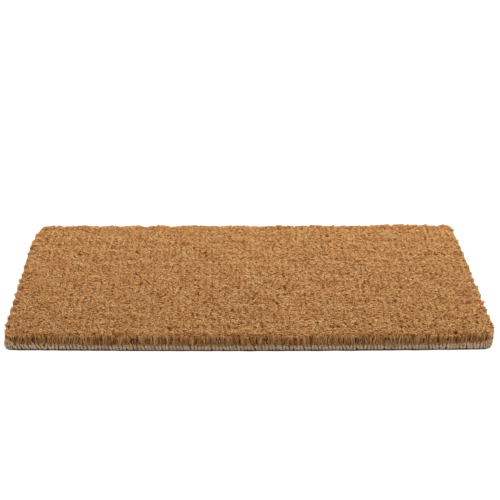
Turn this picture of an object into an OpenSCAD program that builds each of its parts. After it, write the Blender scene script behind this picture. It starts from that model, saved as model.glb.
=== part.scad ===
// Handwoven brush mat: cut-pile rows bound into a flat base of warp and weft yarns, with a corded, bound edge.
// Millimetres. Origin at the centre of the underside, +X along the mat, +Y towards its back edge, +Z up.

/* [Mat] */
// Length of the mat, across the pile rows
mat_length = 600; // [400:10:900]
// Depth of the mat, along the pile rows
mat_depth = 400; // [300:10:600]
// Height of the mat from the floor to the tips of the pile
mat_height = 20; // [18:0.5:26]
// Radius of the corners of the pile
corner_radius = 9; // [5:0.5:12]

/* [Base yarns] */
// Thickness of each flattened weft yarn
weft_thickness = 1.8; // [1.4:0.1:1.8]
// Width of each flattened weft yarn
weft_width = 3.8; // [3:0.1:4]
// Thickness of the flattened lower yarn of each warp chain
chain_lower_thickness = 1.8; // [1.4:0.1:1.8]
// Thickness of the flattened upper yarn of each warp chain
chain_upper_thickness = 1.2; // [0.8:0.1:1.2]
// Width of each warp chain
chain_width = 5; // [3:0.5:8]
// Number of warp chains, spread evenly from the front to the back
chain_count = 15; // [9:2:15]
// Thickness of the straight stuffer yarn inside each warp chain
stuffer_thickness = 1.4; // [1:0.1:1.4]
// Width of the stuffer yarn
stuffer_width = 2; // [1.5:0.1:3]

/* [Pile] */
// Gap between the tops of neighbouring pile rows
row_gap = 0.25; // [0.1:0.05:0.5]
// How far the pile spreads out beyond the bound edge at the two ends
end_overhang = 2; // [0:0.5:4]
// How far the pile spreads out beyond the bound edge at the front and the back
side_overhang = 0; // [0:0.5:4]

/* [Edge] */
// Diameter of the bound edge over its yarn turns
binding_diameter = 8; // [7.5:0.1:8]
// Depth of the groove between two turns of the binding yarn
binding_groove = 0.6; // [0.3:0.1:0.8]
// Diameter of the cord inside the bound edge
cord_diameter = 5.2; // [4:0.1:5.6]
// Radius of the cord's centreline round a corner
cord_bend = 6; // [5:0.5:8]

/* [Hidden] */
$fn = 48;
// Loose fit between yarns that lie against each other
clearance = 0.1;

// Pile rows cross the mat from front to back, about as far apart as the loom's usual pitch.
USUAL_ROW_PITCH = 8.5;
PILE_NODE_COUNT = 14;
ROWS_PER_NODE = round(mat_length / PILE_NODE_COUNT / USUAL_ROW_PITCH);
ROW_COUNT = PILE_NODE_COUNT * ROWS_PER_NODE;
row_pitch = mat_length / ROW_COUNT;
chain_pitch = mat_depth / (chain_count + 1);

// Two weft yarns turn round the edge cords for each row.
TURNS_PER_ROW = 2;
// Outline of one turn of the binding yarn: shares of the groove's depth and of the turn's width
TURN_OUTLINE = [[0, 0.1], [1, 0.3], [1, 0.7], [0, 0.9]];

// Layers of the base, from the floor up
weft_lower_z = chain_lower_thickness;
stuffer_z = weft_lower_z + weft_thickness;
weft_upper_z = stuffer_z + stuffer_thickness;
chain_upper_z = weft_upper_z + weft_thickness;
base_top = chain_upper_z + chain_upper_thickness;
pile_root_z = stuffer_z + clearance;
pile_head_z = max(base_top, binding_diameter) + clearance;
root_width = row_pitch - weft_width - 2 * clearance;

// Edge of the mat
binding_radius = binding_diameter / 2;
groove_radius = binding_radius - binding_groove;
bore_radius = cord_diameter / 2 + clearance;
edge_x = mat_length / 2 - end_overhang - binding_radius;
edge_y = mat_depth / 2 - side_overhang - binding_radius;
straight_x = 2 * (edge_x - cord_bend);
straight_y = 2 * (edge_y - cord_bend);
inner_x = edge_x - binding_radius - clearance;
inner_y = edge_y - binding_radius - clearance;

function two_digits(n) = n < 10 ? str("0", n) : str(n);
function pile_name(n) =
    str("pile_rows_", two_digits((n - 1) * ROWS_PER_NODE + 1), "_", two_digits(n * ROWS_PER_NODE));
function chain_name(n) = str("warp_chain_", two_digits(n));
function stuffer_name(n) = str("stuffer_warp_", two_digits(n));
function row_x(row) = (row - (ROW_COUNT + 1) / 2) * row_pitch;
function chain_y(n) = (n - (chain_count + 1) / 2) * chain_pitch;
function fits_inside(x, width) = abs(x) + width / 2 <= inner_x;

EDGE_NODES = [
    "edge_cord_front", "edge_cord_back", "edge_cord_left", "edge_cord_right",
    "edge_binding_front", "edge_binding_back", "edge_binding_left", "edge_binding_right",
    "corner_binding_front_left", "corner_binding_front_right",
    "corner_binding_back_left", "corner_binding_back_right"
];

// ---- Edge ----

// A round bar of the given length along X, centred on the origin
module bar_x(length, radius) {
    rotate([0, 90, 0]) cylinder(h = length, r = radius, center = true);
}

// A quarter bend of a round bar, from the -Y direction round to the -X direction of its own centre
module bend(radius) {
    rotate([0, 0, 180]) rotate_extrude(angle = 90) translate([cord_bend, 0]) circle(r = radius);
}

// Puts a bend at one corner: side_x and side_y are -1 or 1
module at_corner(side_x, side_y) {
    translate([side_x * straight_x / 2, side_y * straight_y / 2, binding_radius])
        mirror([side_x > 0 ? 1 : 0, 0, 0])
            mirror([0, side_y > 0 ? 1 : 0, 0])
                children();
}

// The cord along the front or the back edge, which also turns both corners
module selvedge_cord(side_y) {
    color("peru") {
        translate([0, side_y * edge_y, binding_radius]) bar_x(straight_x, cord_diameter / 2);
        at_corner(-1, side_y) bend(cord_diameter / 2);
        at_corner(1, side_y) bend(cord_diameter / 2);
    }
}

// The cord along the left or the right edge, between the two selvedge cords
module end_cord(side_x) {
    color("peru")
        translate([side_x * edge_x, 0, binding_radius])
            rotate([0, 0, 90]) bar_x(straight_y, cord_diameter / 2);
}

// The yarn wound round the cord on a straight edge: a sleeve with one ring for each turn of yarn
module binding(length) {
    turns = round(length / row_pitch * TURNS_PER_ROW);
    turn = length / turns;
    rings = [for (k = [0:turns - 1], p = TURN_OUTLINE)
        [groove_radius + p[0] * binding_groove, -length / 2 + (k + p[1]) * turn]];
    rotate([0, 90, 0]) rotate_extrude() polygon(concat(
        [[bore_radius, -length / 2], [groove_radius, -length / 2]],
        rings,
        [[groove_radius, length / 2], [bore_radius, length / 2]]
    ));
}

module selvedge_binding(side_y) {
    color("tan") translate([0, side_y * edge_y, binding_radius]) binding(straight_x);
}

module end_binding(side_x) {
    color("tan") translate([side_x * edge_x, 0, binding_radius]) rotate([0, 0, 90]) binding(straight_y);
}

// The binding yarn round a corner of the cord
module corner_binding(side_x, side_y) {
    color("tan") at_corner(side_x, side_y) difference() {
        bend(binding_radius);
        rotate([0, 0, 180]) rotate_extrude() translate([cord_bend, 0]) circle(r = bore_radius);
    }
}

// ---- Base ----

// One flattened weft yarn with round sides, whose underside is at height z
module weft_yarn(x, z) {
    side_x = (weft_width - weft_thickness) / 2;
    translate([x, 0, z + weft_thickness / 2]) rotate([90, 0, 0])
        linear_extrude(2 * inner_y, center = true) {
            square([2 * side_x, weft_thickness], center = true);
            for (side = [-1, 1]) translate([side * side_x, 0]) circle(d = weft_thickness);
        }
}

// The weft yarns of one layer, all those that fit between the bound ends
module weft_layer(rows, z) {
    color("burlywood") for (row = rows) if (fits_inside(row_x(row), weft_width)) weft_yarn(row_x(row), z);
}

// One weft yarn lies under the stuffers at each pile row.
module weft_lower() {
    weft_layer([1:ROW_COUNT], weft_lower_z);
}

// One weft yarn lies over the stuffers between each two pile rows.
module weft_upper() {
    weft_layer([1.5:ROW_COUNT - 0.5], weft_upper_z);
}

// A flat yarn along the mat, centred on y, whose underside is at height z
module flat_yarn(y, z, width, thickness) {
    translate([-inner_x, y - width / 2, z]) cube([2 * inner_x, width, thickness]);
}

// Two yarns that hold the weft between them, one under the mat and one over the pile's roots
module warp_chain(n) {
    color("sandybrown") {
        flat_yarn(chain_y(n), 0, chain_width, chain_lower_thickness);
        flat_yarn(chain_y(n), chain_upper_z, chain_width, chain_upper_thickness);
    }
}

module stuffer_warp(n) {
    color("chocolate") flat_yarn(chain_y(n), stuffer_z, stuffer_width, stuffer_thickness);
}

// ---- Pile ----

// The plan shape of the whole pile, from straight sides and round corners
module pile_outline() {
    long_side = mat_length / 2 - corner_radius;
    short_side = mat_depth / 2 - corner_radius;
    square([2 * long_side, mat_depth], center = true);
    square([mat_length, 2 * short_side], center = true);
    for (side_x = [-1, 1], side_y = [-1, 1])
        translate([side_x * long_side, side_y * short_side]) circle(r = corner_radius);
}

// The brush of one row above the base
module row_head(row) {
    width = row_pitch - row_gap;
    height = mat_height - pile_head_z;
    translate([row_x(row) - width / 2, -mat_depth / 2, pile_head_z]) cube([width, mat_depth, height]);
}

// The roots of one row, which stand between two weft yarns and leave room for each warp chain
module row_roots(row) {
    gap = chain_width + 2 * clearance;
    height = pile_head_z - pile_root_z;
    difference() {
        translate([row_x(row) - root_width / 2, -inner_y, pile_root_z])
            cube([root_width, 2 * inner_y, height]);
        for (n = [1:chain_count])
            translate([row_x(row) - root_width, chain_y(n) - gap / 2, pile_root_z - height])
                cube([2 * root_width, gap, 2 * height]);
    }
}

// The first and last rows lean over the bound ends. They have no roots, and are cut round at the corners.
module pile_row(row) {
    if (row == 1 || row == ROW_COUNT) {
        intersection() {
            row_head(row);
            linear_extrude(2 * mat_height) pile_outline();
        }
    } else {
        row_head(row);
    }
    if (fits_inside(row_x(row), root_width)) row_roots(row);
}

module pile_rows(n) {
    color("peru") for (row = [(n - 1) * ROWS_PER_NODE + 1:n * ROWS_PER_NODE]) pile_row(row);
}

// ---- Nodes ----

selvedge_cord(-1);  // edge_cord_front
selvedge_cord(1);  // edge_cord_back
end_cord(-1);  // edge_cord_left
end_cord(1);  // edge_cord_right
selvedge_binding(-1);  // edge_binding_front
selvedge_binding(1);  // edge_binding_back
end_binding(-1);  // edge_binding_left
end_binding(1);  // edge_binding_right
corner_binding(-1, -1);  // corner_binding_front_left
corner_binding(1, -1);  // corner_binding_front_right
corner_binding(-1, 1);  // corner_binding_back_left
corner_binding(1, 1);  // corner_binding_back_right
weft_lower();
weft_upper();
for (n = [1:chain_count]) warp_chain(n);
for (n = [1:chain_count]) stuffer_warp(n);
for (n = [1:PILE_NODE_COUNT]) pile_rows(n);
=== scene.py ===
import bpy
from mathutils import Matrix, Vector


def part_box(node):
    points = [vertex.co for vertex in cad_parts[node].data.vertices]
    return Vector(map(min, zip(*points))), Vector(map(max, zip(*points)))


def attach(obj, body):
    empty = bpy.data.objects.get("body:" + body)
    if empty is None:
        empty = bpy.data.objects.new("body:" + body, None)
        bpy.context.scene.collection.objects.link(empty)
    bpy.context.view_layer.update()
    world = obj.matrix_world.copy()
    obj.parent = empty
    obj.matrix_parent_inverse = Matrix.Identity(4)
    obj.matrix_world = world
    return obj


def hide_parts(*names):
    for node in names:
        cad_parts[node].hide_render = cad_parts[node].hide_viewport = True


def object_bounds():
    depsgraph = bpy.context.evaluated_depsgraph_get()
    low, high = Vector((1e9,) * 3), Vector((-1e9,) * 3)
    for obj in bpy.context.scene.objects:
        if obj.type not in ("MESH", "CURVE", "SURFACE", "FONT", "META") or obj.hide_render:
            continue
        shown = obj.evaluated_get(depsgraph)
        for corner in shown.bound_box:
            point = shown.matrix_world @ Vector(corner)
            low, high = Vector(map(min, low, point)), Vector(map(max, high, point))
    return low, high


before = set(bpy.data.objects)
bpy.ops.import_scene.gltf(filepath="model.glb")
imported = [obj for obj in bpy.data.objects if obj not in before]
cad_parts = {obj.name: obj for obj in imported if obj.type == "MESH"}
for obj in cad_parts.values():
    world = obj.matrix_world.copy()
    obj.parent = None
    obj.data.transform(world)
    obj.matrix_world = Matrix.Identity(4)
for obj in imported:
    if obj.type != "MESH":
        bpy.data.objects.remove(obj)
cad_box = [list(corner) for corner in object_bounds()]

# A handwoven coir brush mat. Each pile row is a brush of separate fibres round packed roots, and every yarn
# of the base and of the bound edge is laid up from its own plies. Lengths are in metres, unless a comment
# says millimetres.

import math

import bpy
import numpy as np
from mathutils import Matrix, Vector

MM = 0.001
TAU = 2 * math.pi
SEED = 4107
X_AXIS = np.array([1.0, 0.0, 0.0])
Z_AXIS = np.array([0.0, 0.0, 1.0])


# ---- The layout, read from the CAD parts ----

def nodes_named(start):
    return sorted(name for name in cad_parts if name.startswith(start))


def middle(node):
    low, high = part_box(node)
    return (low + high) / 2


PILE_NODES = nodes_named("pile_rows_")
CHAIN_NODES = nodes_named("warp_chain_")
STUFFER_NODES = nodes_named("stuffer_warp_")
CORNERS = [("front_left", -1, -1), ("front_right", 1, -1), ("back_left", -1, 1), ("back_right", 1, 1)]

ROW_COUNT = int(PILE_NODES[-1][-2:])
ROWS_PER_NODE = ROW_COUNT // len(PILE_NODES)
PILE_LOW = np.array(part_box(PILE_NODES[0])[0])
PILE_HIGH = np.array(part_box(PILE_NODES[-1])[1])
ROW_PITCH = (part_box(PILE_NODES[1])[0].x - PILE_LOW[0]) / ROWS_PER_NODE
PILE_TOP = PILE_HIGH[2]
ROOT_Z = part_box(PILE_NODES[1])[0].z
HALF_X = ROW_COUNT * ROW_PITCH / 2
HALF_Y = PILE_HIGH[1]
BIND_LOW, BIND_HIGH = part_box("edge_binding_front")
BIND_RADIUS = (BIND_HIGH.z - BIND_LOW.z) / 2
HEAD_Z = BIND_HIGH.z
EDGE_Y = -middle("edge_binding_front").y
EDGE_X = -middle("edge_binding_left").x
STRAIGHT_X = BIND_HIGH.x - BIND_LOW.x
STRAIGHT_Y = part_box("edge_binding_left")[1].y * 2
BEND_RADIUS = EDGE_X - STRAIGHT_X / 2
CORD_LOW, CORD_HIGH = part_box("edge_cord_left")
CORD_RADIUS = (CORD_HIGH.x - CORD_LOW.x) / 2
WEFT_LOW, WEFT_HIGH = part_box("weft_lower")
WEFT_THICKNESS = WEFT_HIGH.z - WEFT_LOW.z
CHAIN_YS = np.array([middle(node).y for node in CHAIN_NODES])
CHAIN_PITCH = CHAIN_YS[1] - CHAIN_YS[0]
BACK_RADIUS = 6 * MM  # of the pile's outline at the back corners
FRONT_RADIUS = 15 * MM  # and at the front corners


def row_x(row):
    """The middle of a pile row, counted from 1 at the left."""
    return (row - (ROW_COUNT + 1) / 2) * ROW_PITCH


# ---- How the woven mat departs from a true rectangle ----

FRONT_BOW = 4.5 * MM
BACK_TAPER = 9 * MM
BACK_TAPER_START = 0.6
FRONT_TAPER = 4 * MM
FRONT_TAPER_START = 0.8
FRONT_UNDERCUT = 3 * MM
BACK_RISE = 2.6 * MM
RISE_START = 0.75
RISE_MIDDLE, RISE_SPREAD = 0.74, 0.14


def beyond(share, start):
    """0 up to the start, and rising evenly from there to 1 at the full half size."""
    return np.clip((share - start) / (1 - start), 0, 1)


def out_of_true(points):
    """Moves points with the mat's small errors: the front edge bows out, the back left and the front right
    corners are narrow, and the pile stands taller along a stretch of the back. The starts and the stretch's
    place are shares of the half sizes."""
    x, y = points[:, 0] / HALF_X, points[:, 1] / HALF_Y
    moved = points.copy()
    moved[:, 1] -= FRONT_BOW * (1 - x**2) * np.clip(-y, 0, 1) ** 2
    moved[:, 0] += BACK_TAPER * np.clip(-x, 0, 1) ** 2 * beyond(y, BACK_TAPER_START) ** 2
    corner = np.clip(x, 0, 1) ** 2 * beyond(-y, FRONT_TAPER_START) ** 2
    moved[:, 0] -= corner * (FRONT_TAPER + FRONT_UNDERCUT * (1 - points[:, 2] / PILE_TOP))
    stretch = np.exp(-(((x - RISE_MIDDLE) / RISE_SPREAD) ** 2)) * beyond(y, RISE_START)
    moved[:, 2] *= 1 + BACK_RISE / PILE_TOP * stretch
    return moved


# ---- Tubes in mesh code ----

def unit(vectors):
    return vectors / np.maximum(np.linalg.norm(vectors, axis=-1, keepdims=True), 1e-12)


def cross_frame(paths, side):
    """Directions across and up for each ring of each path, so that across x up points along the path."""
    along = unit(np.gradient(paths, axis=-2))
    across = unit(np.cross(np.broadcast_to(side, along.shape), along))
    return across, np.cross(along, across)


def circle(sides):
    angles = np.arange(sides) / sides * TAU
    return np.stack([np.cos(angles), np.sin(angles)], axis=-1)


class Skin:
    """Gathers tubes, and then makes one mesh of them."""

    def __init__(self):
        self.points, self.quads, self.triangles = [], [], []
        self.quad_maps, self.triangle_maps = [], []
        self.tones, self.painted_lights = [], []
        self.count = 0

    def add(self, paths, across, up, profile, tone, band, columns=1, closed=False, rise=None):
        """Adds N tubes of P rings and S sides. The profile is each ring's outline as (across, up) pairs.
        tone is each tube's shade of colour, and the last argument is each ring's painted shade: 0 paints
        the darkest, deep in the pile, and 1 none. band is the low and high end of the bake map's strip
        for these tubes."""
        tubes, rings = paths.shape[:2]
        profile = np.broadcast_to(profile, (tubes, rings) + profile.shape[-2:])
        sides = profile.shape[-2]
        sideways = across[:, :, None] * profile[..., :1]
        points = paths[:, :, None] + sideways + up[:, :, None] * profile[..., 1:]
        index = np.arange(tubes * rings * sides).reshape(tubes, rings, sides) + self.count
        beside = np.roll(index, -1, axis=2)
        ahead, ahead_beside = np.roll(index, -1, axis=1), np.roll(beside, -1, axis=1)
        quads = np.stack([index, beside, ahead_beside, ahead], axis=-1)
        spans = rings if closed else rings - 1
        self.points.append(points.reshape(-1, 3))
        self.quads.append(quads[:, :spans].reshape(-1, 4))
        if rise is None:
            rise = np.linspace(0, 1, rings)
        rise = np.broadcast_to(rise, (tubes, rings))
        self.tones.append(np.repeat(tone, rings * sides))
        self.painted_lights.append(np.repeat(rise.reshape(-1), sides))

        corner, size = bake_cells(tubes, band, columns)
        u, v = np.meshgrid(np.arange(spans) / spans, np.arange(sides) / sides, indexing="ij")
        steps = np.array([[0, 0], [0, 1 / sides], [1 / spans, 1 / sides], [1 / spans, 0]])
        local = np.stack([u, v], axis=-1)[:, :, None] + steps
        self.quad_maps.append((corner[:, None, None, None] + local[None] * size).reshape(-1, 2))
        if not closed:
            fan = np.arange(1, sides - 1)
            low, high = index[:, 0], index[:, -1]
            first = np.broadcast_to(low[:, :1], (tubes, len(fan)))
            last = np.broadcast_to(high[:, :1], (tubes, len(fan)))
            start_cap = np.stack([first, low[:, fan + 1], low[:, fan]], axis=-1)
            end_cap = np.stack([last, high[:, fan], high[:, fan + 1]], axis=-1)
            for cap, where in ((start_cap, [0.02, 0.5]), (end_cap, [0.98, 0.5])):
                self.triangles.append(cap.reshape(-1, 3))
                spot = corner[:, None] + np.array(where) * size
                self.triangle_maps.append(np.broadcast_to(spot, (tubes, len(fan) * 3, 2)).reshape(-1, 2))
        self.count += tubes * rings * sides

    def build(self, name, material, replaces):
        """Makes the piece, which rides on the mat's one body and stands for the CAD nodes it replaces."""
        points = out_of_true(np.concatenate(self.points))
        quads = np.concatenate(self.quads)
        triangles = np.concatenate(self.triangles) if self.triangles else np.zeros((0, 3), int)
        triangle_maps = self.triangle_maps or [np.zeros((0, 2))]
        mesh = bpy.data.meshes.new(name)
        mesh.vertices.add(len(points))
        mesh.vertices.foreach_set("co", points.astype(np.float32).ravel())
        mesh.loops.add(quads.size + triangles.size)
        mesh.loops.foreach_set("vertex_index", np.concatenate([quads.ravel(), triangles.ravel()]))
        mesh.polygons.add(len(quads) + len(triangles))
        starts = np.concatenate([np.arange(len(quads)) * 4, quads.size + np.arange(len(triangles)) * 3])
        mesh.polygons.foreach_set("loop_start", starts)
        mesh.update(calc_edges=True)
        bake_map = mesh.uv_layers.new(name="OFBake")
        maps = np.concatenate(self.quad_maps + triangle_maps)
        bake_map.uv.foreach_set("vector", maps.astype(np.float32).ravel())
        for label, values in (("tone", self.tones), ("rise", self.painted_lights)):
            layer = mesh.attributes.new(label, "FLOAT", "POINT")
            layer.data.foreach_set("value", np.concatenate(values).astype(np.float32))
        mesh.shade_smooth()
        mesh.materials.append(material)
        piece = bpy.data.objects.new(name, mesh)
        bpy.context.scene.collection.objects.link(piece)
        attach(piece, "root")
        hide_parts(*replaces)


def bake_cells(tubes, band, columns):
    """A cell of the bake map for each tube, in a strip across the map: the cells' corners and size."""
    rows = -(-tubes // columns)
    cell = np.array([1 / columns, (band[1] - band[0]) / rows])
    number = np.arange(tubes)
    corner = np.stack([number % columns, number // columns], axis=-1) * cell + [0, band[0]]
    border = 0.08 * cell
    return corner + border, cell - 2 * border


# ---- Outline of the pile ----

END_SCALLOP = 1.7 * MM
END_WANDER, WANDER_SIZE = 0.5 * MM, 60 * MM
SCALLOP_FADE = 30 * MM  # the stretch beside a corner where the ends' scallops die away
ROW_SCALLOP = 0.6 * MM
ROW_ENDS = np.random.default_rng([SEED, 800]).normal(0, 0.8 * MM, (ROW_COUNT + 2, 2))
CORNER_PULL, PULL_LENGTH = 3 * MM, 45 * MM
EDGE_ROUND = 9 * MM  # from the outline in to where the top starts to fall
EDGE_DROP = 4 * MM
EDGE_CURVE = 2.2
FRONT_DROP = 0.8 * MM
FRONT_SETBACK = 2.5 * MM
WAVES, OCTAVES = 12, 2
TUFT_SIZE = 7 * MM
CLUMP_SIZE = 3.2 * MM
PIT_SIZE = 3 * MM


def slow_noise(rng, places, size):
    """Smooth random values about 0 at (x, y) places, from sums of waves with lengths near size."""
    total = np.zeros(len(places))
    for octave in range(OCTAVES):
        for _ in range(WAVES):
            angle, phase = rng.uniform(0, TAU, 2)
            length = size * rng.uniform(0.7, 1.4) / 2**octave
            wave = places @ np.array([math.cos(angle), math.sin(angle)]) * TAU / length + phase
            total += np.sin(wave) / math.sqrt(WAVES) / 1.5**octave
    return total


def mat_field(which, x, y, size):
    """One of the slow fields that vary over the whole mat, the same for every row."""
    return slow_noise(np.random.default_rng([SEED, 900, which]), np.stack([x, y], axis=-1), size)


def tuft_field(x, y):
    """Where the fibres at the mat's edges hang together in tufts (high) and where they part (low)."""
    return mat_field(9, x, y, TUFT_SIZE)


def row_end(x, y):
    """How much longer or taller than usual the row at x is, at the end nearer to y."""
    row = np.clip(np.rint(x / ROW_PITCH + (ROW_COUNT + 1) / 2), 0, ROW_COUNT + 1).astype(int)
    return ROW_ENDS[row, (y > 0).astype(int)]


def inside_outline(x, y, inset=0.0):
    """How far each place is inside the pile's outline, which swells out between the warp chains at both
    ends, and a little at each end of a row."""
    tuft = np.cos((y - CHAIN_YS[0]) / CHAIN_PITCH * TAU)
    brush = np.cos((x - row_x(1)) / ROW_PITCH * TAU)
    fade = np.clip((HALF_Y - np.abs(y)) / SCALLOP_FADE, 0, 1)
    half_x = HALF_X - END_SCALLOP * tuft * fade + END_WANDER * mat_field(4, np.sign(x), y, WANDER_SIZE)
    half_x -= CORNER_PULL * np.clip((-y - HALF_Y) / PULL_LENGTH + 1, 0, 1)
    half_y = HALF_Y + ROW_SCALLOP * brush + row_end(x, y)
    radius = np.where(y < 0, FRONT_RADIUS, BACK_RADIUS)
    dx = np.abs(x) - (half_x - inset - radius)
    dy = np.abs(y) - (half_y - inset - radius)
    outside = np.hypot(np.maximum(dx, 0), np.maximum(dy, 0)) + np.minimum(np.maximum(dx, dy), 0)
    return radius - outside


def outward_at(x, y):
    """The direction straight out of the mat, from places near its outline."""
    radius = np.where(y < 0, FRONT_RADIUS, EDGE_ROUND)
    dx = np.maximum(np.abs(x) - (HALF_X - radius), 0)
    dy = np.maximum(np.abs(y) - (HALF_Y - radius), 0)
    return unit(np.stack([np.sign(x) * dx, np.sign(y) * dy], axis=-1))


def edge_drop(depth, outward):
    """How far the pile's top falls away near its outline, where the fibres spread and lean out. It falls
    least along the front, where the pile stands straight."""
    front = np.clip(-outward[:, 1], 0, 1)
    fall = np.clip(1 - depth / EDGE_ROUND, 0, 1) ** EDGE_CURVE
    return (EDGE_DROP + (FRONT_DROP - EDGE_DROP) * front) * fall


# ---- Fibres ----

FIBRE_TOP_Z = PILE_TOP - 0.1 * MM
PACKED_TOP_Z = HEAD_Z + 0.55 * (PILE_TOP - HEAD_Z)
HEAD_MARGIN = 0.35 * MM
NECK_GAP = 4 * MM  # between the necks of two rows, where the weft lies
RIM = 3.2 * MM
TIPS_PER_ROW = 1900
TIP_STEPS = np.array([0, 0.7, 0.9, 1])
TOP_INSET = 0.8 * MM
TOP_WAVE, TOP_WAVE_SIZE = 0.25 * MM, 30 * MM
CLUMP_RISE, CLUMP_LIMIT = 0.28 * MM, 0.6
ROW_GAP_DROP, CHAIN_DROP = 0.35 * MM, 0.4 * MM
RAGGED_LENGTH = 16 * MM  # from the front and back edges inwards
RAGGED_ROW, RAGGED_CLUMP, RAGGED_TUFT = 1.3, 0.6 * MM, 1.1 * MM
BRINK = 5 * MM
PIT_START, PIT_LIMIT, PIT_DEPTH = 0.85, 0.6, 4.2 * MM
BACK_EVENNESS = 0.35
TOP_LENGTH = 4 * MM  # the least height from a fibre's root to the pile's top
SHOULDER_DROP = 0.45 * MM  # from the pile's top down to where a fibre starts to lie over
LEAN, ROW_LEAN, FIELD_LEAN, LEAN_SIZE = 0.14, 0.2, 0.08, 9 * MM
EDGE_LEAN = 0.25
LIE_REACH = (0.4, 1.8)  # in millimetres
LIE_SPREAD, TURN_SPREAD = 0.25, 0.65
# The tone taken off in the pits is painted shade.
TONE_SPREAD, CLUMP_TONE, PIT_PAINTED_SHADE = 0.12, 0.06, 0.7
BROAD_TONE, BROAD_SIZE = 0.05, 45 * MM
# The tone taken off along the front edge, fading over the length beside it, is painted shade.
FRONT_PAINTED_SHADE, FRONT_SHADE = 0.12, 10 * MM
FACE_STEPS = np.linspace(0, 1, 5)
# Painted shade on the face and drooping fibres: how much painted light is left at the root and at the tip.
FACE_PAINTED_LIGHT = (0.46, 0.82)
FACE_PER_ROW = 75
FACE_END_ROWS = 11  # how many times as many face fibres an end row has, all along the mat's end
DROOPING_PER_ROW = 40
DROOPING_END_ROWS = 12
DROOPING_RIM = 2.2 * MM
LOCK_WIDTH, LOCK_WANDER, WANDER_LENGTH = 2.9 * MM, 0.4, 11 * MM
LOCK_SWAY = 1.4 * MM
# From one lock to the next, how much the angle grows in the sine that sways it, leans it out or shades it:
SWAY_STEP, LEAN_STEP, TONE_STEP = 7.3, 4.9, 2.7
SHORT_SHARE, PALE_SHARE = 0.4, 0.15
# The face fibres' mean tone sits below the top's 0.5: painted shade for the faces, which get less light.
FACE_PAINTED_SHADE_TONE, FACE_TONE_SPREAD = 0.42, 0.2
FACE_BEND, FACE_HOOK = 1.2 * MM, 0.5
DROOPING_START = (0.25, 0.35)  # the mean and the spread of the tuft values above which fibres droop
TOP_THICKNESS = (0.48 * MM, 0.82 * MM)
FACE_THICKNESS = (0.42 * MM, 0.70 * MM)
DROOPING_THICKNESS = (0.36 * MM, 0.55 * MM)
ROOT_STRIP, TOP_STRIP, FACE_STRIP, DROOPING_STRIP = (0.0, 0.05), (0.05, 0.80), (0.80, 0.95), (0.95, 1.0)


def add_fibres(skin, paths, thickness, tone, band, columns, steps, taper=0.6, rise=(0, 1)):
    """Adds closed three-sided fibres along the paths, thinner towards their tips. The last argument gives
    their painted shade at the root and at the tip, from 0, the darkest, to 1, none."""
    across, up = cross_frame(paths, [0.31, 0.95, 0.05])
    narrowing = 1 - (1 - taper) * steps ** 1.5
    profile = circle(3) * (thickness[:, None] * narrowing)[..., None, None] / 2
    skin.add(paths, across, up, profile, tone, band, columns, rise=rise[0] + (rise[1] - rise[0]) * steps)


def curved(rng, low, tip, steps, bend, hook):
    """Paths from low to tip that bow sideways. A share of them, hook, lie over at the tip."""
    count = len(low)
    t = steps[None, :, None]
    paths = low[:, None] + (tip - low)[:, None] * t
    heading = rng.uniform(0, TAU, count)
    sideways = np.stack([np.cos(heading), np.sin(heading), np.zeros(count)], axis=-1)[:, None]
    bow = rng.normal(0, bend, count)[:, None, None]
    paths += sideways * bow * np.sin(math.pi * t)
    turn = rng.uniform(0, TAU, count)
    over = np.stack([np.cos(turn), np.sin(turn), np.full(count, -0.3)], axis=-1)[:, None]
    reach = np.where(rng.uniform(0, 1, count) < hook, rng.uniform(0.7, 2.2, count), 0.3)[:, None, None] * MM
    paths += over * reach * t**4
    return paths


def top_places(rng, row):
    """Where the fibres of a row's top stand: x, y, and how far they are from the row's middle, -1 to 1."""
    count = TIPS_PER_ROW
    u = rng.permutation((np.arange(count) + rng.uniform(0, 1, count)) / count) * 2 - 1
    x = row_x(row) + u * 0.49 * ROW_PITCH
    y = ((np.arange(count) + rng.uniform(0, 1, count)) / count * 2 - 1) * (HALF_Y + ROW_SCALLOP)
    keep = inside_outline(x, y - FRONT_SETBACK * (y < 0), TOP_INSET) > 0
    return x[keep], y[keep], u[keep]


def top_heights(rng, x, y, u, clump):
    """How high the pile's top is, but for its pits. It is ragged towards the front and back edges, and a
    little lower between rows and over the warp chains."""
    count = len(x)
    at_chain = (0.5 + 0.5 * np.cos((y - CHAIN_YS[0]) / CHAIN_PITCH * TAU)) ** 6
    depth = inside_outline(x, y)
    top = FIBRE_TOP_Z - edge_drop(depth, outward_at(x, y))
    top += TOP_WAVE * mat_field(2, x, y, TOP_WAVE_SIZE) + CLUMP_RISE * np.minimum(clump, CLUMP_LIMIT)
    near_end = np.clip(1 - (HALF_Y - np.abs(y)) / RAGGED_LENGTH, 0, 1)
    ragged = RAGGED_ROW * row_end(x, -y) + RAGGED_CLUMP * clump - RAGGED_TUFT * tuft_field(x, y)
    top += (ragged + rng.normal(0, 0.5, count) * MM) * near_end
    dents = ROW_GAP_DROP * np.abs(u) ** 3 + CHAIN_DROP * at_chain
    top -= dents + np.abs(rng.normal(0, 0.35, count)) * MM
    top -= np.abs(rng.normal(0, 1.2, count)) * MM * np.clip(1 - depth / BRINK, 0, 1)
    return top


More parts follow.
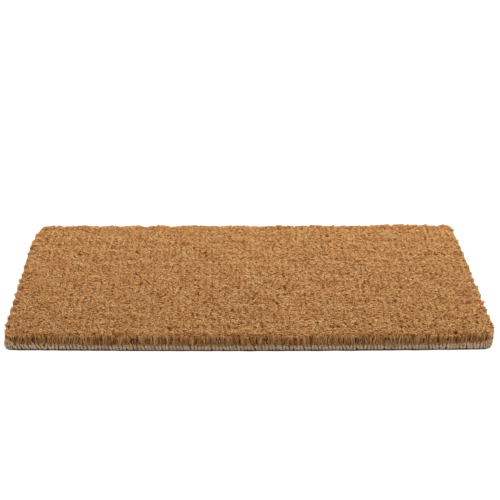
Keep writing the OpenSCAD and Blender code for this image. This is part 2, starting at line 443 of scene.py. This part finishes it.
def top_fibres(rng, row):
    """Paths of the fibres that make the top of a row, their tones, with painted shade in the pits and along
    the front edge, and how much painted light their tips get, less in the pits. Each fibre stands up and
    then lies over at its tip."""
    x, y, u = top_places(rng, row)
    count = len(x)
    clump = mat_field(6, 0.65 * x, 1.25 * y, CLUMP_SIZE)
    pit = np.clip(mat_field(8, 0.75 * x, y, PIT_SIZE) - PIT_START, 0, PIT_LIMIT)
    uneven = 1 - BACK_EVENNESS * np.clip(y / HALF_Y, 0, 1) ** 2
    outward = outward_at(x, y)
    spread = EDGE_LEAN * outward * edge_drop(inside_outline(x, y), outward)[:, None]
    top = top_heights(rng, x, y, u, clump) - PIT_DEPTH * pit * uneven
    root = np.minimum(PACKED_TOP_Z, top - TOP_LENGTH) - rng.uniform(0, 0.7, count) * MM
    low = np.stack([x, y, root], axis=-1)

    lean = rng.normal(0, LEAN, (count, 2))
    lean[:, 0] += ROW_LEAN * u + FIELD_LEAN * mat_field(0, x, y, LEAN_SIZE)
    lean[:, 1] += FIELD_LEAN * mat_field(1, x, y, LEAN_SIZE)
    shoulder = np.stack([x, y, top - SHOULDER_DROP], axis=-1)
    shoulder[:, :2] += lean * (top - root)[:, None] + spread
    reach = rng.uniform(*LIE_REACH, count)
    heading = rng.choice([0, math.pi], count) + rng.normal(0, LIE_SPREAD, count)
    turned = heading + rng.normal(0, TURN_SPREAD, count)
    over = np.stack([np.cos(heading) * reach, np.sin(heading) * reach, np.full(count, 0.4)], axis=-1)
    down = np.stack([np.cos(turned) * reach, np.sin(turned) * reach, -0.3 * reach], axis=-1)
    crook = shoulder + over * MM
    end = crook + down * MM
    # Painted shade: fibres in the pits get a darker tone.
    tone = 0.5 + uneven * (rng.normal(0, TONE_SPREAD, count) + CLUMP_TONE * clump - PIT_PAINTED_SHADE * pit)
    # Painted shade: fibres get darker towards the front edge.
    at_front = np.clip((-y - HALF_Y) / FRONT_SHADE + 1, 0, 1)
    tone += BROAD_TONE * mat_field(3, x, y, BROAD_SIZE) - FRONT_PAINTED_SHADE * at_front
    # Painted light at the tips, much less in the pits.
    return np.stack([low, shoulder, crook, end], axis=1), np.clip(tone, 0, 1), 1 - 0.9 * pit[:, None]


def face_places(rng, row, count, deepest):
    """Places near the pile's outline: at both ends of a row, and all along a row at the mat's ends."""
    depth = rng.uniform(0, 1, count) ** 1.3 * deepest
    x = row_x(row) + rng.uniform(-0.5, 0.5, count) * ROW_PITCH
    y = rng.choice([-1.0, 1.0], count) * (HALF_Y - depth)
    if row in (1, ROW_COUNT):
        along_end = rng.uniform(0, 1, count) < 0.93
        x = np.where(along_end, math.copysign(1.0, row_x(row)) * (HALF_X - depth), x)
        y = np.where(along_end, rng.uniform(-1, 1, count) * HALF_Y, y)
    pull = np.maximum(depth - inside_outline(x, y), 0)[:, None] * outward_at(x, y)
    return x - pull[:, 0], y - pull[:, 1]


def face_fibres(rng, row):
    """Whole fibres that show on the mat's four faces, fanned out from one root to a lock: their roots and
    tips, their tones, set darker than the top's as painted shade, and how much painted light they get."""
    x, y = face_places(rng, row, FACE_PER_ROW * (FACE_END_ROWS if row in (1, ROW_COUNT) else 1), RIM)
    tuft = tuft_field(x, y)
    count = len(x)
    depth = np.maximum(inside_outline(x, y), 0)
    outward = outward_at(x, y)
    beside = np.stack([-outward[:, 1], outward[:, 0]], axis=-1)
    along = x * beside[:, 0] + y * beside[:, 1]
    lock = np.floor(along / LOCK_WIDTH + LOCK_WANDER * mat_field(7, x, y, WANDER_LENGTH))
    from_middle = along - (lock + 0.5) * LOCK_WIDTH
    sway = LOCK_SWAY * np.sin(lock * SWAY_STEP) + rng.normal(0, 1.0, count) * MM
    out = (0.6 + 0.6 * np.sin(lock * LEAN_STEP) + rng.normal(0, 0.5, count)) * MM
    low = np.stack([x, y, HEAD_Z - rng.uniform(0, 1.2, count) * MM], axis=-1)
    tip = low.copy()
    tip[:, :2] += outward * out[:, None] + beside * sway[:, None]
    tip[:, 1] += FRONT_SETBACK * np.clip(-outward[:, 1], 0, 1)
    low[:, :2] -= beside * 0.9 * from_middle[:, None]
    short = np.where(rng.uniform(0, 1, count) < SHORT_SHARE, rng.uniform(0.1, 0.6, count), 0.0)
    tip[:, 2] = FIBRE_TOP_Z - edge_drop(depth, outward) - np.abs(rng.normal(0, 0.8, count)) * MM
    tip[:, 2] -= short * (tip[:, 2] - low[:, 2])
    # Painted shade: the face fibres' tone starts lower than the top's.
    tone = FACE_PAINTED_SHADE_TONE + 0.09 * np.sin(lock * TONE_STEP) + 0.04 * tuft
    tone += rng.normal(0, FACE_TONE_SPREAD, count)
    tone += 0.35 * (rng.uniform(0, 1, count) < PALE_SHARE)
    # Painted light, more on the tufts.
    lit = np.clip(0.04 + 0.09 * tuft + rng.normal(0, 0.1, count), -0.3, 0.35)[:, None]
    return low, tip, np.clip(tone, 0, 1), lit


def drooping_fibres(rng, row):
    """Paths and tones of the fibres that fall outwards over the bound edge, most of them in tufts."""
    places = DROOPING_PER_ROW * (DROOPING_END_ROWS if row in (1, ROW_COUNT) else 1)
    x, y = face_places(rng, row, places, DROOPING_RIM)
    tuft = tuft_field(x, y)
    keep = tuft > rng.normal(*DROOPING_START, len(x))
    x, y, tuft = x[keep], y[keep], tuft[keep]
    count = len(x)
    outward = outward_at(x, y)
    beside = np.stack([-outward[:, 1], outward[:, 0]], axis=-1)
    t = FACE_STEPS[None, :, None]
    reach = rng.uniform(0.4, 2.0, count)[:, None, None] * MM
    sway = rng.normal(0, 1.3, count)[:, None, None] * MM
    top = HEAD_Z + rng.uniform(1.5, 5.5, count)[:, None] * MM
    drop = (rng.uniform(0.6, 4.2, count) + 1.3 * tuft)[:, None] * MM
    paths = np.empty((count, len(FACE_STEPS), 3))
    plan = np.stack([x, y], axis=-1)[:, None]
    paths[..., :2] = plan + outward[:, None] * reach * np.sin(t * math.pi * 0.62)
    paths[..., :2] += beside[:, None] * sway * t
    paths[..., 2] = top + 0.9 * MM * np.sin(t[..., 0] * math.pi) - drop * t[..., 0] ** 1.7
    return paths, np.clip(rng.normal(0.45, 0.22, count), 0, 1)


def packed_roots(rng, skin, row):
    """The lower part of a row, where the fibres are packed too close to tell apart, painted very dark brown
    as the shade deep in the pile.
    """
    end_row = row in (1, ROW_COUNT)
    rings = 150
    y = np.linspace(-1, 1, rings) * (HALF_Y - RIM)
    head = 0.5 * ROW_PITCH - HEAD_MARGIN
    neck = 0.5 * (ROW_PITCH - NECK_GAP)
    mid, top = HEAD_Z + 1.2 * MM, PACKED_TOP_Z
    outline = np.array([
        [-0.6 * neck, ROOT_Z], [0.6 * neck, ROOT_Z], [neck, ROOT_Z + 0.7 * MM], [neck, HEAD_Z - 0.4 * MM],
        [head, mid], [head, top - 1.5 * MM], [0.6 * head, top], [-0.6 * head, top],
        [-head, top - 1.5 * MM], [-head, mid], [-neck, HEAD_Z - 0.4 * MM], [-neck, ROOT_Z + 0.7 * MM],
    ])
    profile = np.repeat(outline[None], rings, axis=0)
    at_chain = np.abs(y[:, None] - CHAIN_YS[None]).min(axis=1) < 2.9 * MM
    over_edge = np.abs(y) > EDGE_Y - BIND_RADIUS - 1.5 * MM
    lifted = at_chain | over_edge | end_row
    profile[lifted, :, 1] = np.maximum(profile[lifted, :, 1], HEAD_Z + 0.1 * MM)
    profile += rng.normal(0, 0.16 * MM, profile.shape)
    shift = 0.0
    if end_row:
        shift = -math.copysign(0.5 * RIM, row_x(row))
        profile[..., 0] *= 0.55
    centres = np.stack([np.full(rings, row_x(row) + shift), y, np.zeros(rings)], axis=-1)
    keep = inside_outline(centres[:, 0], y, RIM) > 0 if end_row else np.full(rings, True)
    centres, profile = centres[keep][None], profile[keep][None]
    across = np.broadcast_to(-X_AXIS, centres.shape)
    up = np.broadcast_to(Z_AXIS, centres.shape)
    profile = profile * [-1, 1]
    # Painted shade: the darkest tone and no painted light, for the shade between and under the fibres.
    rise = np.zeros(centres.shape[1])
    skin.add(centres, across, up, profile[:, :, ::-1], np.array([0.05]), ROOT_STRIP, rise=rise)


def make_pile_row(row, material):
    """One row of the pile, from front to back. The strips of its bake map part its four kinds of fibre."""
    rng = np.random.default_rng([SEED, row])
    node = PILE_NODES[(row - 1) // ROWS_PER_NODE]
    skin = Skin()
    packed_roots(rng, skin, row)
    paths, tone, lit = top_fibres(rng, row)
    thickness = rng.uniform(*TOP_THICKNESS, len(tone))
    # Painted shade along each top fibre, from darkest at the root to its tip's painted light.
    add_fibres(skin, paths, thickness, tone, TOP_STRIP, 32, TIP_STEPS, 0.75, rise=(0, lit))
    low, tip, tone, lit = face_fibres(rng, row)
    paths = curved(rng, low, tip, FACE_STEPS, FACE_BEND, FACE_HOOK)
    thickness = rng.uniform(*FACE_THICKNESS, len(tone))
    # Painted shade along each face fibre, less where it gets painted light.
    rise = (FACE_PAINTED_LIGHT[0] + lit, FACE_PAINTED_LIGHT[1] + 0.6 * lit)
    add_fibres(skin, paths, thickness, tone, FACE_STRIP, 16, FACE_STEPS, rise=rise)
    paths, tone = drooping_fibres(rng, row)
    thickness = rng.uniform(*DROOPING_THICKNESS, len(tone))
    # Painted shade along the drooping fibres, as on the face.
    add_fibres(skin, paths, thickness, tone, DROOPING_STRIP, 8, FACE_STEPS, rise=FACE_PAINTED_LIGHT)
    skin.build(f"pile_row_{row:02d}", material, [node])


# ---- Yarns ----

WEFT_WIDTH = 3.7 * MM
WEFT_WOBBLE = 0.25 * MM
WEFT_TWIST, CHAIN_TWIST, STUFFER_TWIST, CORD_TWIST = 20 * MM, 7 * MM, 16 * MM, 18 * MM
CHAIN_YARN_RADIUS = 0.78 * MM
CHAIN_SPREAD, CHAIN_SWAY = 1.65 * MM, 0.35 * MM


def add_yarn(skin, path, across, up, width, thickness, twist, tone, band, sides=6, closed=False, phase=0.0):
    """Adds the two plies of a yarn, twisted round each other and pressed flat to its thickness.
    twist is the length of one full turn, or the number of turns on a closed loop."""
    rings = len(path)
    if closed:
        angle = np.arange(rings) / rings * TAU * twist
    else:
        steps = np.linalg.norm(np.diff(path, axis=0), axis=1)
        angle = np.concatenate([[0], np.cumsum(steps)]) / twist * TAU
    angle = angle + phase
    plies = angle[None] + np.array([0, math.pi])[:, None]
    centre = np.stack([np.cos(plies), np.sin(plies)], axis=-1) * width / 4
    profile = centre[:, :, None] + circle(sides) * width / 4 * 1.04
    profile = profile * [1, thickness / width]
    both = [np.broadcast_to(part, (2,) + part.shape) for part in (path, across, up)]
    skin.add(*both, profile, tone + np.array([-0.04, 0.04]), band, closed=closed)


def make_weft(node, upper, material):
    """The weft yarns of one layer, in two pieces for the left and the right half of the mat."""
    low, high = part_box(node)
    rows = np.arange(2, ROW_COUNT - 1) + 0.5 if upper else np.arange(2, ROW_COUNT)
    rings = 100
    y = np.linspace(low.y, high.y, rings)
    halves = np.array_split(rows, 2)
    for half, label in zip(halves, ("left", "right")):
        rng = np.random.default_rng([SEED, 200 + int(upper), int(half[0])])
        skin = Skin()
        for k, row in enumerate(half):
            x = row_x(row) + WEFT_WOBBLE * slow_noise(rng, np.stack([y, 0 * y], axis=-1), 60 * MM)
            path = np.stack([x, y, np.full(rings, (low.z + high.z) / 2)], axis=-1)
            across = np.broadcast_to(-X_AXIS, path.shape)
            up = np.broadcast_to(Z_AXIS, path.shape)
            band = (k / len(half), (k + 1) / len(half))
            tone = rng.uniform(0.35, 0.65)
            add_yarn(skin, path, across, up, WEFT_WIDTH, WEFT_THICKNESS, WEFT_TWIST, tone, band, sides=5,
                     phase=rng.uniform(0, TAU))
        skin.build(f"{node}_{label}", material, [node])


def make_chain(node, material):
    """Two yarns that cross each other between the weft yarns, one each side of the stuffer."""
    low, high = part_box(node)
    rng = np.random.default_rng([SEED, 300, int(node[-2:])])
    rings = 360
    x = np.linspace(low.x, high.x, rings)
    swing = (high.z - low.z) / 2 - CHAIN_YARN_RADIUS * 1.1
    skin = Skin()
    for k, side in enumerate((-1, 1)):
        wave = np.cos((x - row_x(1)) / ROW_PITCH * TAU) * side
        wave = np.sign(wave) * np.abs(wave) ** 0.7
        y = middle(node).y + side * CHAIN_SPREAD - side * CHAIN_SWAY * wave
        path = np.stack([x, y, (low.z + high.z) / 2 + swing * wave], axis=-1)
        across, up = cross_frame(path[None], Z_AXIS)
        thickness = 2 * CHAIN_YARN_RADIUS
        add_yarn(skin, path, across[0], up[0], thickness, thickness, CHAIN_TWIST, rng.uniform(0.4, 0.6),
                 (k / 2, k / 2 + 0.5), sides=5)
    skin.build(f"chain_{node[-2:]}", material, [node])


def make_stuffer(node, material):
    """A straight yarn along the mat, inside a warp chain."""
    low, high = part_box(node)
    rings = 120
    x = np.linspace(low.x, high.x, rings)
    path = np.stack([x, np.full(rings, middle(node).y), np.full(rings, middle(node).z)], axis=-1)
    across, up = cross_frame(path[None], Z_AXIS)
    skin = Skin()
    width, thickness = high.y - low.y, high.z - low.z
    add_yarn(skin, path, across[0], up[0], width, thickness, STUFFER_TWIST, 0.45, (0, 1))
    skin.build(f"stuffer_{node[-2:]}", material, [node])


# ---- The bound edge ----

TURN_THICKNESS = 2.0 * MM
FINE_TURN = ROW_PITCH / 2
FINE_COVER, FINE_SLANT = 0.94, 0.5 * MM
COARSE_TURN = 4.8 * MM
COARSE_COVER, COARSE_SLANT = 0.78, 2.6 * MM
COARSE_LENGTH = 42 * MM
END_SWELL = 2.6 * MM
SWELL_LENGTH = 115 * MM
SWELL_CURVE = 1.6
FLATNESS = 0.25
TURN_TWISTS = 3
TURN_TONE = (0.43, 0.57)
TURN_SHIFT, SLANT_SPREAD, SWELL_UNEVEN = 0.3, 0.5, 0.9  # in millimetres
CORNER_TURNS = 6
CORNER_TURN_WIDTH = 2.2 * MM
CORNER_SLANT = 0.6 * MM
CORNER_SWELL = 1.4 * MM
HAIRS_PER_TURN = 5
HAIR_LENGTH, HAIR_THICKNESS = (0.8, 1.7), (0.14, 0.26)  # in millimetres
HAIR_BEND = 0.35 * MM
TURN_STRIP = 0.94  # the share of a bake map for the turns; the hairs have the rest


def edge_line(side):
    """Start, direction and outward direction of one straight edge, running anticlockwise round the mat."""
    lines = {
        "front": ([-STRAIGHT_X / 2, -EDGE_Y], [1, 0], [0, -1], STRAIGHT_X),
        "right": ([EDGE_X, -STRAIGHT_Y / 2], [0, 1], [1, 0], STRAIGHT_Y),
        "back": ([STRAIGHT_X / 2, EDGE_Y], [-1, 0], [0, 1], STRAIGHT_X),
        "left": ([-EDGE_X, STRAIGHT_Y / 2], [0, -1], [-1, 0], STRAIGHT_Y),
    }
    start, along, outward, length = lines[side]
    flat = [np.array([*values, 0.0]) for values in (start, along, outward)]
    flat[0][2] = BIND_RADIUS
    return flat + [length]


def make_cord(side, material):
    """The cord inside one edge, three strands laid round each other. The front and back cords also turn
    both corners."""
    start, along, outward, length = edge_line(side)
    path = start + along * np.linspace(0, length, 260)[:, None]
    if side in ("front", "back"):
        bend = np.linspace(0, math.pi / 2, 12)[1:, None]
        inner = start - outward * BEND_RADIUS
        tail = inner + BEND_RADIUS * (np.cos(bend) * outward - np.sin(bend) * along)
        far = inner + along * length
        lead = far + BEND_RADIUS * (np.cos(bend) * outward + np.sin(bend) * along)
        path = np.concatenate([tail[::-1], path, lead])
    steps = np.linalg.norm(np.diff(path, axis=0), axis=1)
    angle = np.concatenate([[0], np.cumsum(steps)]) / CORD_TWIST * TAU
    across, up = cross_frame(path[None], Z_AXIS)
    skin = Skin()
    strands = np.arange(3)[:, None] / 3 * TAU + angle[None]
    ply = CORD_RADIUS / 2.2
    centre = np.stack([np.cos(strands), np.sin(strands)], axis=-1) * (CORD_RADIUS - ply)
    profile = centre[:, :, None] + circle(7) * ply
    three = [np.broadcast_to(part, (3,) + path.shape) for part in (path, across, up)]
    skin.add(*three, profile, np.array([0.4, 0.5, 0.6]), (0, 1))
    skin.build(f"cord_{side}", material, [f"edge_cord_{side}"])


def turn_places(length, rng):
    """The turns of binding yarn on a straight edge: each one's place, the width that its yarn covers, and
    its slant. The first turns, where the yarn was started, are coarse."""
    started = int(COARSE_LENGTH / COARSE_TURN)
    rest = length - started * COARSE_TURN
    count = round(rest / FINE_TURN)
    coarse = np.arange(started + count) < started
    widths = np.where(coarse, COARSE_TURN, rest / count)
    places = np.cumsum(widths) - widths / 2
    cover = np.where(coarse, COARSE_COVER, FINE_COVER)
    slant = np.where(coarse, COARSE_SLANT, FINE_SLANT)
    places += rng.normal(0, TURN_SHIFT, len(places)) * MM
    return places, widths * cover, slant + rng.normal(0, SLANT_SPREAD, len(slant)) * MM


def add_turn(skin, place, along, outward, width, slant, swell, band, rng):
    """One turn of binding yarn round the cord, as a closed loop that stands on the floor. swell is how much
    thicker the edge is here than its usual diameter."""
    rings = 30
    theta = np.arange(rings)[:, None] / rings * TAU
    radial = np.cos(theta) * outward + np.sin(theta) * Z_AXIS
    squareness = np.maximum(np.abs(np.cos(theta)), np.abs(np.sin(theta)))
    radial = radial / squareness**FLATNESS
    centre = place + Z_AXIS * swell / 2
    radius = BIND_RADIUS + (swell - TURN_THICKNESS) / 2
    path = centre + radial * radius - along * slant * np.sin(theta)
    ahead = unit(np.roll(path, -1, axis=0) - np.roll(path, 1, axis=0))
    across = unit(np.cross(radial, ahead))
    tone = rng.uniform(*TURN_TONE)
    add_yarn(skin, path, across, np.cross(ahead, across), width, TURN_THICKNESS, TURN_TWISTS, tone, band,
             sides=7, closed=True, phase=rng.uniform(0, TAU))


def edge_fuzz(rng, skin, centres, along, outward, band):
    """Short hairs that stand out of the binding yarn."""
    count = len(centres)
    theta = rng.uniform(-0.9, 1.3, count)[:, None]
    radial = np.cos(theta) * outward + np.sin(theta) * Z_AXIS
    low = centres + radial * (BIND_RADIUS - 0.7 * MM)
    tip = low + radial * rng.uniform(*HAIR_LENGTH, count)[:, None] * MM
    tip += along * rng.normal(0, 1.3, count)[:, None] * MM
    tip[:, 2] = np.maximum(tip[:, 2] + rng.normal(0, 0.8, count) * MM, 0.4 * MM)
    steps = np.linspace(0, 1, 4)
    paths = curved(rng, low, tip, steps, HAIR_BEND, 0.0)
    tone = np.clip(rng.normal(0.55, 0.25, count), 0, 1)
    add_fibres(skin, paths, rng.uniform(*HAIR_THICKNESS, count) * MM, tone, band, 16, steps)


def make_binding(side, material):
    """The binding yarn along one edge. The edge is thicker towards its corners."""
    start, along, outward, length = edge_line(side)
    rng = np.random.default_rng([SEED, 400, ord(side[0])])
    places, widths, slants = turn_places(length, rng)
    skin = Skin()
    for k, (place, width, slant) in enumerate(zip(places, widths, slants)):
        centre = start + along * place + outward * rng.normal(0, 0.12) * MM
        to_corner = min(place, length - place)
        swell = END_SWELL * max(1 - to_corner / SWELL_LENGTH, 0) ** SWELL_CURVE
        swell += rng.uniform(0, SWELL_UNEVEN) * MM
        band = (TURN_STRIP * k / len(places), TURN_STRIP * (k + 1) / len(places))
        add_turn(skin, centre, along, outward, width, slant, swell, band, rng)
    hairs = np.repeat(places, HAIRS_PER_TURN) + rng.normal(0, 1.2, HAIRS_PER_TURN * len(places)) * MM
    edge_fuzz(rng, skin, start + along * hairs[:, None], along, outward, (TURN_STRIP, 1.0))
    skin.build(f"binding_{side}", material, [f"edge_binding_{side}"])


def make_corner(name, side_x, side_y, material):
    """Thick turns of yarn round a corner of the cord."""
    rng = np.random.default_rng([SEED, 500, side_x + 1, side_y + 1])
    bend_centre = np.array([side_x * STRAIGHT_X / 2, side_y * STRAIGHT_Y / 2, 0.0])
    skin = Skin()
    for k in range(CORNER_TURNS):
        angle = (k + 0.5) / CORNER_TURNS * math.pi / 2
        outward = np.array([side_x * math.sin(angle), side_y * math.cos(angle), 0.0])
        along = np.cross(Z_AXIS, outward)
        tip = math.sin(2 * angle)
        place = bend_centre + outward * (BEND_RADIUS + 0.3 * MM * tip) + Z_AXIS * BIND_RADIUS
        swell = END_SWELL + CORNER_SWELL * tip
        band = (k / CORNER_TURNS, (k + 1) / CORNER_TURNS)
        add_turn(skin, place, along, outward, CORNER_TURN_WIDTH, CORNER_SLANT, swell, band, rng)
    skin.build(f"corner_{name}", material, [f"corner_binding_{name}"])


# ---- Materials ----

SPECULAR = 0.25
COIR_GRAIN, YARN_GRAIN, YARN_MOTTLE = 420.0, 900.0, 90.0
COIR_ROUGHNESS, YARN_ROUGHNESS = 0.72, 0.66
BUMP_STRENGTH, BUMP_DISTANCE = 0.5, 0.3 * MM


def node_tree(name):
    material = bpy.data.materials.new(name)
    material.use_nodes = True
    tree = material.node_tree
    tree.nodes.clear()
    output = tree.nodes.new("ShaderNodeOutputMaterial")
    shader = tree.nodes.new("ShaderNodeBsdfPrincipled")
    tree.links.new(shader.outputs["BSDF"], output.inputs["Surface"])
    return material, tree, shader


def linear(colour):
    """A display colour, 0 to 255, as the linear values that shaders use."""
    value = np.array(colour) / 255
    value = np.where(value <= 0.04045, value / 12.92, ((value + 0.055) / 1.055) ** 2.4)
    return (*value, 1.0)


def ramp(tree, source, stops):
    node = tree.nodes.new("ShaderNodeValToRGB")
    elements = node.color_ramp.elements
    while len(elements) < len(stops):
        elements.new(0.5)
    for element, (position, colour) in zip(elements, stops):
        element.position = position
        element.color = colour
    tree.links.new(source, node.inputs["Fac"])
    return node.outputs["Color"]


def attribute(tree, name):
    node = tree.nodes.new("ShaderNodeAttribute")
    node.attribute_name = name
    return node.outputs["Fac"]


def noise(tree, scale, detail=3.0):
    place = tree.nodes.new("ShaderNodeTexCoord")
    texture = tree.nodes.new("ShaderNodeTexNoise")
    texture.inputs["Scale"].default_value = scale
    texture.inputs["Detail"].default_value = detail
    tree.links.new(place.outputs["Object"], texture.inputs["Vector"])
    return texture.outputs["Fac"]


def maths(tree, operation, *values):
    node = tree.nodes.new("ShaderNodeMath")
    node.operation = operation
    for socket, value in zip(node.inputs, values):
        if isinstance(value, (int, float)):
            socket.default_value = value
        else:
            tree.links.new(value, socket)
    return node.outputs["Value"]


def multiply_colour(tree, colour, by):
    node = tree.nodes.new("ShaderNodeMix")
    node.data_type = "RGBA"
    node.blend_type = "MULTIPLY"
    node.inputs["Factor"].default_value = 1.0
    tree.links.new(colour, node.inputs["A"])
    tree.links.new(by, node.inputs["B"])
    return node.outputs["Result"]


def coir_material():
    """Cut coir fibre: straw to dark brown from fibre to fibre, finely mottled, and with painted shade that
    darkens it deeper in the pile, in the pits and on the faces."""
    material, tree, shader = node_tree("coir_fibre")
    mottle = maths(tree, "MULTIPLY", maths(tree, "SUBTRACT", noise(tree, COIR_GRAIN), 0.5), 0.5)
    shade = maths(tree, "ADD", attribute(tree, "tone"), mottle)
    colour = ramp(tree, shade, [
        (0.00, linear((102, 55, 18))),
        (0.25, linear((173, 106, 46))),
        (0.50, linear((217, 161, 95))),
        (0.75, linear((215, 176, 121))),
        (1.00, linear((218, 188, 143))),
    ])
    # Painted shade: each ring's painted-shade value darkens the colour, most at the roots deep in the pile.
    depth = ramp(tree, attribute(tree, "rise"), [
        (0.0, (0.28, 0.24, 0.18, 1)),
        (0.6, (0.61, 0.54, 0.46, 1)),
        (0.9, (1, 1, 1, 1)),
    ])
    tree.links.new(multiply_colour(tree, colour, depth), shader.inputs["Base Color"])
    tree.links.new(maths(tree, "ADD", COIR_ROUGHNESS, mottle), shader.inputs["Roughness"])
    shader.inputs["Specular IOR Level"].default_value = SPECULAR
    return material


def yarn_material(name, dark, mid, pale):
    """Spun yarn: finely mottled and bumpy, in slightly different tones from ply to ply."""
    material, tree, shader = node_tree(name)
    fine = noise(tree, YARN_GRAIN, detail=4.0)
    broad = noise(tree, YARN_MOTTLE)
    shade = maths(tree, "ADD", attribute(tree, "tone"), maths(tree, "SUBTRACT", fine, 0.5))
    shade = maths(tree, "ADD", shade, maths(tree, "MULTIPLY", maths(tree, "SUBTRACT", broad, 0.5), 0.5))
    colour = ramp(tree, shade, [(0.1, linear(dark)), (0.5, linear(mid)), (0.9, linear(pale))])
    tree.links.new(colour, shader.inputs["Base Color"])
    roughness = maths(tree, "ADD", YARN_ROUGHNESS, maths(tree, "MULTIPLY", fine, 0.3))
    tree.links.new(roughness, shader.inputs["Roughness"])
    bump = tree.nodes.new("ShaderNodeBump")
    bump.inputs["Strength"].default_value = BUMP_STRENGTH
    bump.inputs["Distance"].default_value = BUMP_DISTANCE
    tree.links.new(fine, bump.inputs["Height"])
    tree.links.new(bump.outputs["Normal"], shader.inputs["Normal"])
    shader.inputs["Specular IOR Level"].default_value = SPECULAR
    return material


# ---- Setting ----

CARD_INSET = 0.3 * MM
CARD_WAVER, WAVER_SIZE = 0.3 * MM, 25 * MM
CARD_DROP, TABLE_DROP = 0.03 * MM, 0.06 * MM  # how far below the mat they lie
TABLE_REACH = 12.0
TABLE_COLOUR, TABLE_GLOW = (0.45, 0.45, 0.45), 0.75
# The card's dark brown is a painted contact shadow along the foot of the bound edge.
PAINTED_SHADOW_COLOUR = (0.16, 0.09, 0.05)
LAMP_PLACE = (0.28, 1.0, 1.5)
LAMP_SIZE = (1.8, 1.2)
LAMP_POWER = 83
SKY_STRENGTH = 1.08


def flat_piece(name, outline, height, material):
    mesh = bpy.data.meshes.new(name)
    mesh.from_pydata([(*place, 0) for place in outline], [], [range(len(outline))])
    mesh.materials.append(material)
    piece = bpy.data.objects.new(name, mesh)
    bpy.context.scene.collection.objects.link(piece)
    piece.location.z = height


def plain_material(name, colour, glow):
    material, _, shader = node_tree(name)
    shader.inputs["Base Color"].default_value = (*colour, 1)
    shader.inputs["Roughness"].default_value = 1.0
    shader.inputs["Specular IOR Level"].default_value = 0.0
    shader.inputs["Emission Color"].default_value = (1, 1, 1, 1)
    shader.inputs["Emission Strength"].default_value = glow
    return material


def painted_shadow_outline():
    """The outline of the dark card, a painted contact shadow: the bound edge's outline, a little inside it,
    with a slight waver along the front.
    """
    radius = BEND_RADIUS + BIND_RADIUS - CARD_INSET
    turn = np.linspace(0, math.pi / 2, 9)
    corner_x = STRAIGHT_X / 2 + radius * np.cos(turn)
    corner = np.stack([corner_x, STRAIGHT_Y / 2 + radius * np.sin(turn)], axis=-1)
    back = np.concatenate([corner, corner[::-1] * [-1, 1]])
    x = np.linspace(-1, 1, 121) * STRAIGHT_X / 2
    waver = CARD_WAVER * mat_field(5, x, 0 * x, WAVER_SIZE)
    front = np.stack([x, waver - STRAIGHT_Y / 2 - radius], axis=-1)
    outline = np.concatenate([back, corner * [-1, -1], front, corner[::-1] * [1, -1]])
    return out_of_true(np.pad(outline, [(0, 0), (0, 1)]))[:, :2]


def make_floor():
    """A pale table lit from below, which holds almost no shadow, and a dark card under the mat, a painted
    contact shadow, which also keeps the table's light off the mat's underside."""
    floor_z = cad_box[0][2]
    far = TABLE_REACH
    table = [(-far, -far), (far, -far), (far, far), (-far, far)]
    flat_piece("floor", table, floor_z - TABLE_DROP, plain_material("floor", TABLE_COLOUR, TABLE_GLOW))
    # The card under the mat is a painted contact shadow.
    flat_piece("painted_shadow_card", painted_shadow_outline(), floor_z - CARD_DROP, plain_material("painted_shadow_card", PAINTED_SHADOW_COLOUR, 0.0))


def make_light():
    world = bpy.data.worlds.new("studio")
    bpy.context.scene.world = world
    world.use_nodes = True
    tree = world.node_tree
    background = tree.nodes["Background"]
    place = tree.nodes.new("ShaderNodeTexCoord")
    split = tree.nodes.new("ShaderNodeSeparateXYZ")
    tree.links.new(place.outputs["Generated"], split.inputs["Vector"])
    sky = ramp(tree, split.outputs["Z"], [(0.0, (0.20, 0.20, 0.20, 1)), (0.9, (1, 1, 1, 1))])
    tree.links.new(sky, background.inputs["Color"])
    background.inputs["Strength"].default_value = SKY_STRENGTH
    lamp = bpy.data.lights.new("overhead", "AREA")
    lamp.shape = "RECTANGLE"
    lamp.size, lamp.size_y = LAMP_SIZE
    lamp.energy = LAMP_POWER
    overhead = bpy.data.objects.new("overhead", lamp)
    bpy.context.scene.collection.objects.link(overhead)
    overhead.location = LAMP_PLACE
    overhead.rotation_euler = (-overhead.location).to_track_quat("-Z", "Y").to_euler()


def make_camera():
    """The camera stands in front of the mat, a little to the left, and looks down over its front edge."""
    aim = Vector((0.005, 0.0920, PILE_TOP))
    distance = 2.164
    pitch, heading, roll = math.radians(20.48), math.radians(-1.41), math.radians(0.49)
    level = math.cos(pitch)
    back = Vector((math.sin(heading) * level, -math.cos(heading) * level, math.sin(pitch)))
    camera_data = bpy.data.cameras.new("camera")
    camera_data.lens = 112.7
    camera_data.sensor_width = 36
    camera = bpy.data.objects.new("camera", camera_data)
    bpy.context.scene.collection.objects.link(camera)
    right = Vector((math.cos(heading), math.sin(heading), 0))
    turned = Matrix((right, back.cross(right), back)).transposed() @ Matrix.Rotation(roll, 3, "Z")
    camera.matrix_world = Matrix.Translation(aim + back * distance) @ turned.to_4x4()
    bpy.context.scene.camera = camera


# ---- The mat ----

def make_mat():
    coir = coir_material()
    greige = yarn_material("binding_yarn", (123, 94, 70), (179, 149, 119), (202, 177, 147))
    weft = yarn_material("weft_yarn", (116, 90, 62), (172, 142, 106), (208, 182, 146))
    warp = yarn_material("warp_yarn", (120, 86, 52), (182, 142, 96), (214, 180, 134))
    rope = yarn_material("edge_cord", (92, 64, 36), (150, 112, 70), (190, 152, 106))
    stuffer = yarn_material("stuffer_yarn", (84, 56, 30), (138, 98, 58), (178, 138, 92))
    for row in range(1, ROW_COUNT + 1):
        make_pile_row(row, coir)
    make_weft("weft_lower", False, weft)
    make_weft("weft_upper", True, weft)
    for node in CHAIN_NODES:
        make_chain(node, warp)
    for node in STUFFER_NODES:
        make_stuffer(node, stuffer)
    for side in ("front", "right", "back", "left"):
        make_cord(side, rope)
        make_binding(side, greige)
    for name, side_x, side_y in CORNERS:
        make_corner(name, side_x, side_y, greige)


make_camera()
make_mat()
make_floor()
make_light()
bpy.context.scene.view_settings.view_transform = "Standard"
